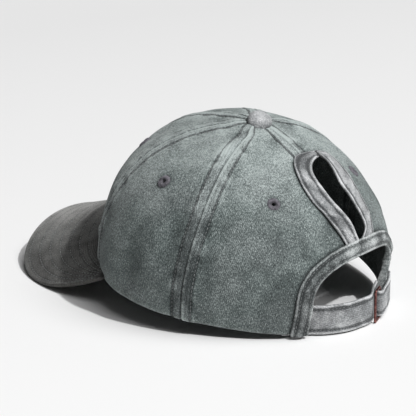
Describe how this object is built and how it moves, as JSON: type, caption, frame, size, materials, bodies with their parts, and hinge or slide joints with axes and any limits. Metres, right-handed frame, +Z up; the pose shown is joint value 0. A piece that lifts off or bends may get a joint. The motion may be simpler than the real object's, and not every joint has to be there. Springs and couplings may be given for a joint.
{
  "type": "ponytail baseball cap",
  "caption": "Soft washed-cotton baseball cap with a curved peak, an arch and strap at the back, and a bound slit above the arch for a high ponytail.",
  "frame": {"origin": "middle of the cap's foot on the surface that it stands on, below the middle of its box", "axes": "+Z up, -Y towards the peak's front edge, +Y towards the strap at the back, +X towards the wearer's left"},
  "size_m": [0.1858, 0.2582, 0.121],
  "materials": {
    "crown_twill": "washed grey-green cotton twill, matt, faded at the seams and folds",
    "peak_twill": "washed grey-green cotton twill over a stiff board, with rows of stitching",
    "binding_twill": "folded cotton twill binding, paler and a little purple where it is worn",
    "eyelet_thread": "satin-stitched embroidery thread",
    "buckle_metal": "antique copper plate, satin, dark in the corners"
  },
  "bodies": {
    "root": {"panel_front_left": "crown_twill", "panel_front_right": "crown_twill", "panel_side_left": "crown_twill", "panel_side_right": "crown_twill", "panel_rear_left": "crown_twill", "panel_rear_right": "crown_twill", "eyelet_front_left": "eyelet_thread", "eyelet_front_right": "eyelet_thread", "eyelet_side_left": "eyelet_thread", "eyelet_side_right": "eyelet_thread", "eyelet_rear_left": "eyelet_thread", "eyelet_rear_right": "eyelet_thread", "button": "peak_twill", "peak": "peak_twill", "slit_binding_left": "binding_twill", "slit_binding_right": "binding_twill", "arch_binding": "binding_twill", "strap": "binding_twill", "buckle_tab": "binding_twill", "buckle": "buckle_metal"}
  },
  "joints": []
}
